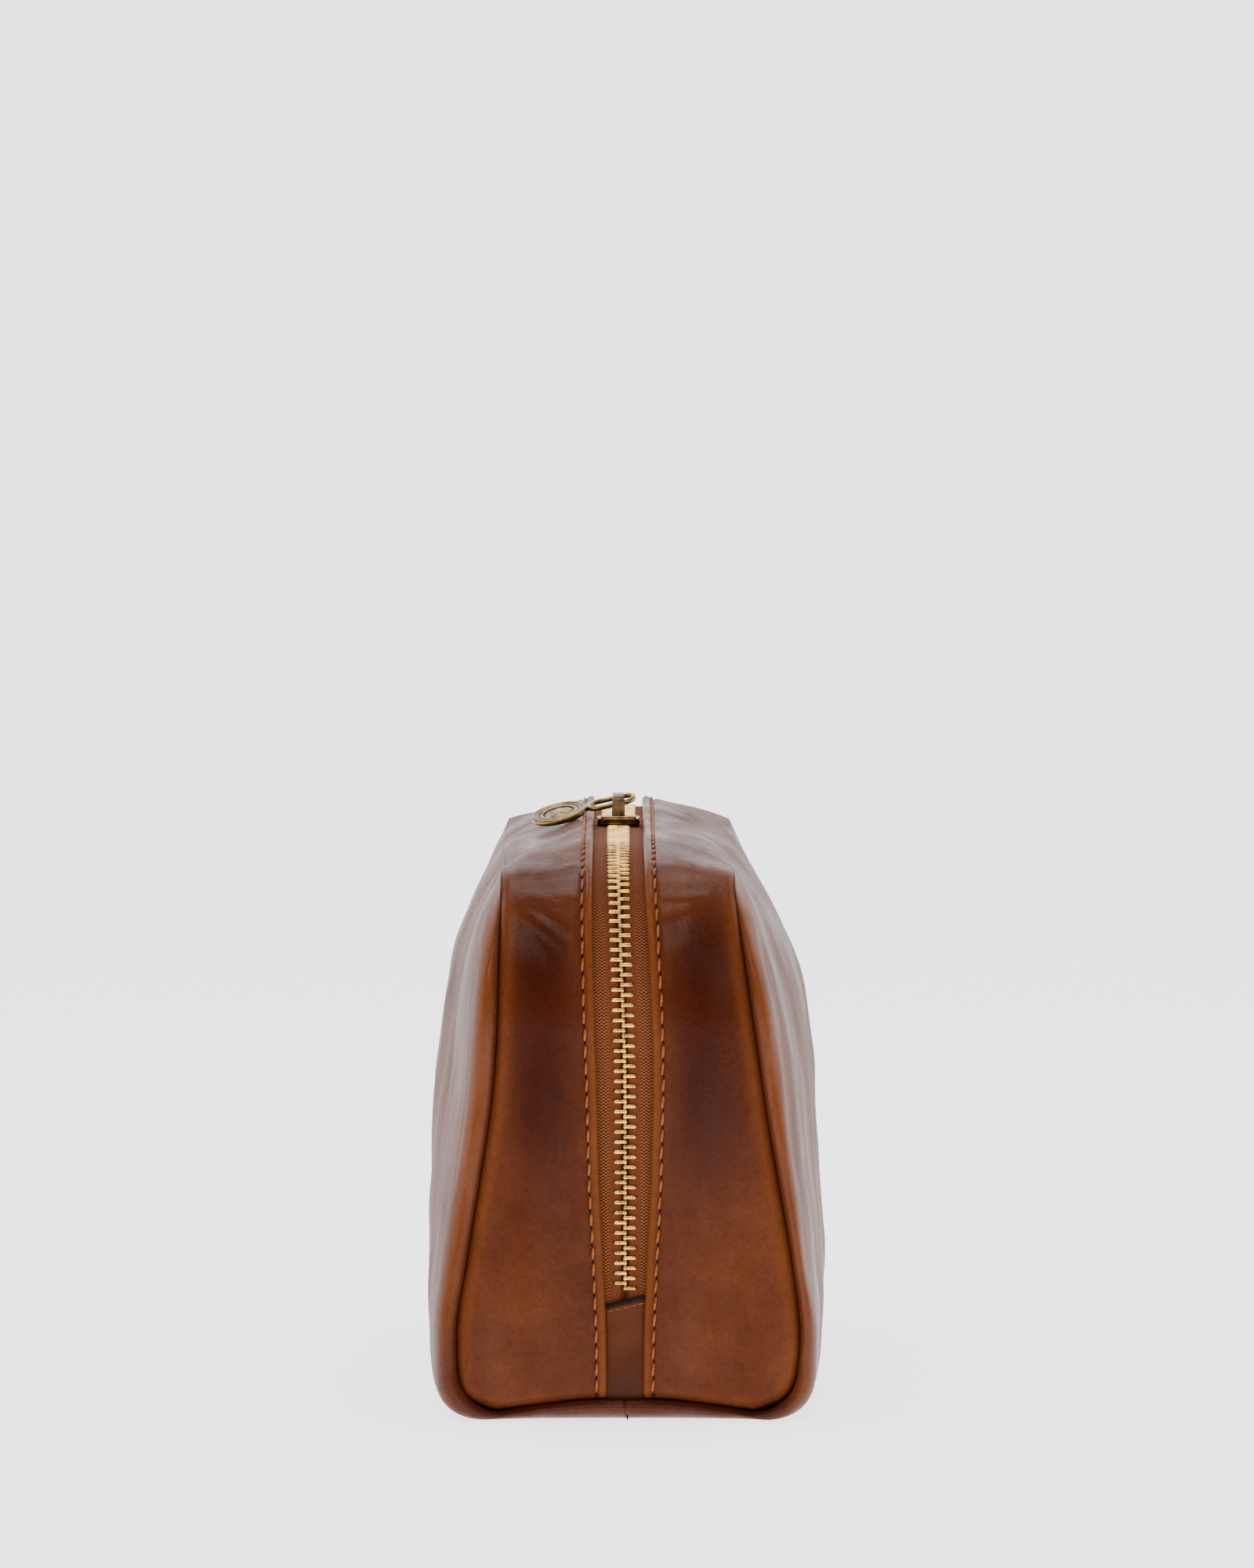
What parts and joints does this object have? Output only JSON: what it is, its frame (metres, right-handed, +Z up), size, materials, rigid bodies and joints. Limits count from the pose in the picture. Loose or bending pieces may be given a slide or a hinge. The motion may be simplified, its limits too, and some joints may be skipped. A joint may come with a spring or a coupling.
{
  "type": "wash bag",
  "caption": "Zip-top leather wash bag with rounded ends, fold-back top flaps, a sliding zip slider and a swinging round pull.",
  "frame": {"origin": "under the middle of the bag, on the surface it stands on", "axes": "+Z up; Y along the bag, with the end that carries the zip's bottom stop at -Y; X across it"},
  "size_m": [0.1048, 0.25, 0.1551],
  "materials": {
    "glazed_leather": "glazed, high gloss",
    "zip_tape": "herringbone twill",
    "tooth_brass": "polished",
    "antique_brass": "antiqued, worn edges",
    "aged_brass": "aged, polished rim",
    "lining_cloth": "cotton twill",
    "board": "matt"
  },
  "bodies": {
    "bag_body": {"base_board": "board", "base_lining": "lining_cloth", "bottom_stop": "tooth_brass", "front_left_end_lining": "lining_cloth", "front_left_end_panel": "glazed_leather", "front_left_tape": "zip_tape", "front_left_teeth": "tooth_brass", "front_right_end_lining": "lining_cloth", "front_right_end_panel": "glazed_leather", "front_right_tape": "zip_tape", "front_right_teeth": "tooth_brass", "front_zip_tab": "glazed_leather", "left_base_panel": "glazed_leather", "left_side_lining": "lining_cloth", "left_side_panel": "glazed_leather", "pocket_band": "lining_cloth", "rear_left_end_lining": "lining_cloth", "rear_left_end_panel": "glazed_leather", "rear_left_tape": "zip_tape", "rear_left_teeth": "tooth_brass", "rear_right_end_lining": "lining_cloth", "rear_right_end_panel": "glazed_leather", "rear_right_tape": "zip_tape", "rear_right_teeth": "tooth_brass", "rear_zip_tab": "glazed_leather", "right_base_panel": "glazed_leather", "right_side_lining": "lining_cloth", "right_side_panel": "glazed_leather", "slip_pocket": "lining_cloth", "top_stops": "tooth_brass"},
    "left_flap": {"left_top_lining": "lining_cloth", "left_top_panel": "glazed_leather", "left_top_tape": "zip_tape", "left_top_teeth": "tooth_brass"},
    "right_flap": {"right_top_lining": "lining_cloth", "right_top_panel": "glazed_leather", "right_top_tape": "zip_tape", "right_top_teeth": "tooth_brass"},
    "slider": {"slider_body": "antique_brass", "slider_bridge": "antique_brass"},
    "pull": {"medallion_pull": "aged_brass"}
  },
  "joints": [
    {"name": "left_flap_fold", "type": "hinge", "parent": "bag_body", "child": "left_flap", "pos_m": [-0.0357, 0, 0.1371], "axis": [0, -1, 0], "range_deg": [0, 50]},
    {"name": "right_flap_fold", "type": "hinge", "parent": "bag_body", "child": "right_flap", "pos_m": [0.0357, 0, 0.1371], "axis": [0, 1, 0], "range_deg": [0, 50]},
    {"name": "slider_slide", "type": "slide", "parent": "left_flap", "child": "slider", "axis": [0, -1, 0], "range_m": [-0.064, 0.059], "deforming": ["left_top_teeth", "right_top_teeth"]},
    {"name": "pull_swing", "type": "hinge", "parent": "slider", "child": "pull", "pos_m": [0, -0.00035, 0.1528], "axis": [0.2117, 0.2419, -0.9469], "range_deg": [0, 170]}
  ]
}
